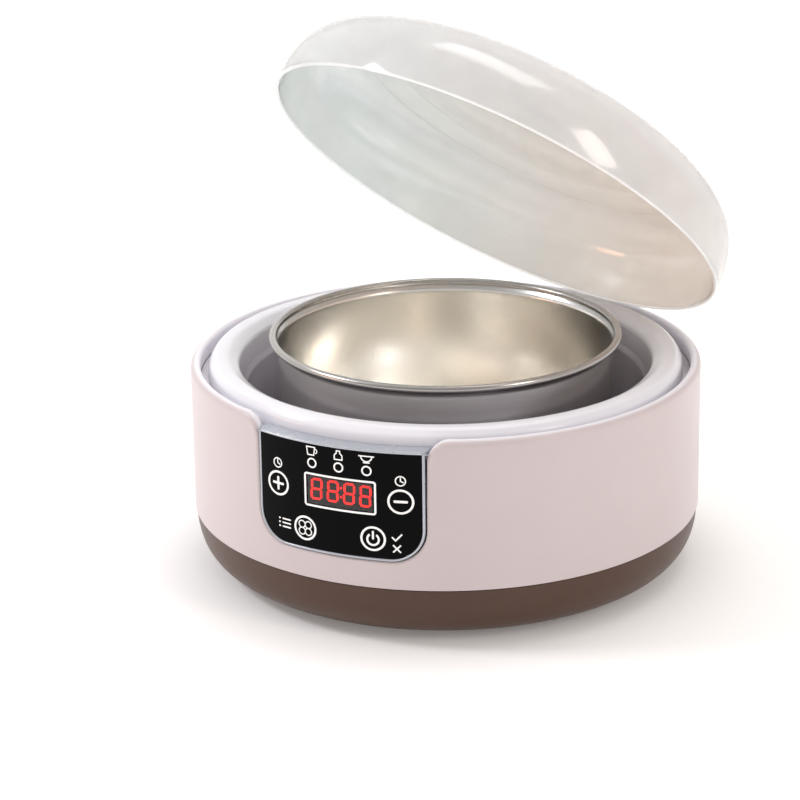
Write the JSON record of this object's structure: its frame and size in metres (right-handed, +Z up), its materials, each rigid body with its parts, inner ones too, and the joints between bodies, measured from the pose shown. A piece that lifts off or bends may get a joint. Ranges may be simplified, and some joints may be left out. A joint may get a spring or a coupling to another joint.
{
  "type": "yogurt maker",
  "caption": "Round countertop yogurt maker with a heated well, lift-out steel pot, touch panel with clock display and a loose milky dome lid.",
  "frame": {"origin": "on the housing axis, at the plane that the rubber feet stand on", "axes": "+Z up along the housing and pot axis, the touch panel faces -Y, the power inlet faces +Y"},
  "size_m": [0.212, 0.2102, 0.2259],
  "materials": {
    "shell_plastic": "satin, moulded",
    "well_plastic": "glossy, moulded",
    "base_plastic": "satin, moulded",
    "black_plastic": "moulded",
    "contact_metal": "tin plated",
    "bezel_plastic": "silver grey, satin",
    "panel_film": "glossy printed film",
    "window_lens": "smoked clear plastic",
    "lit_red": "lit",
    "lamp_resin": "diffusing resin",
    "spring_steel": "spring wire",
    "circuit_board": "green solder mask",
    "screw_steel": "zinc plated",
    "connector_plastic": "moulded nylon",
    "plate_aluminium": "cast and turned",
    "silicone": "moulded silicone",
    "silicone_heater": "silicone laminate",
    "winding_yellow": "taped winding",
    "capacitor_box": "moulded box",
    "fuse_glass": "clear",
    "lead_blue": "insulated lead",
    "lead_white": "silicone insulated lead",
    "lead_black": "insulated lead",
    "lead_grey": "ribbon",
    "foot_rubber": "moulded rubber",
    "pot_steel": "brushed inside and out, polished rim",
    "lid_plastic": "milky, translucent"
  },
  "bodies": {
    "housing": {"base_housing": "base_plastic", "base_screws": "screw_steel", "board_connectors": "connector_plastic", "board_screws": "screw_steel", "buzzer": "black_plastic", "control_board": "circuit_board", "control_chip": "black_plastic", "display_digits": "lit_red", "display_module": "black_plastic", "display_window": "window_lens", "film_capacitor": "capacitor_box", "fuse_clamp": "connector_plastic", "fuse_clips": "contact_metal", "glass_fuse": "fuse_glass", "heater_foil": "silicone_heater", "heater_leads": "lead_white", "heating_plate": "plate_aluminium", "indicator_lamps": "lamp_resin", "inlet_pins": "contact_metal", "inner_well": "well_plastic", "mains_leads": "lead_blue", "outer_shell": "shell_plastic", "panel_bezel": "bezel_plastic", "panel_overlay": "panel_film", "plate_gasket": "silicone", "plate_screws": "screw_steel", "power_board": "circuit_board", "power_board_screws": "screw_steel", "power_inlet": "black_plastic", "ribbon_cable": "lead_grey", "rubber_feet": "foot_rubber", "sensor_clip": "spring_steel", "sensor_leads": "lead_black", "smoothing_capacitors": "black_plastic", "thermal_fuse": "contact_metal", "thermistor": "plate_aluminium", "touch_springs": "spring_steel", "transformer": "winding_yellow", "triac": "black_plastic"},
    "pot": {"steel_pot": "pot_steel"},
    "lid": {"lid_dome": "lid_plastic"}
  },
  "joints": [
    {"name": "pot_lift", "type": "slide", "parent": "housing", "child": "pot", "axis": [0, 0, 1], "range_m": [0, 0.1]},
    {"name": "lid_tip", "type": "hinge", "parent": "pot", "child": "lid", "pos_m": [0.03109, 0.09772, 0.08213], "axis": [-0.9427, 0.3265, 0.0684], "range_deg": [-40.94, 0]}
  ]
}
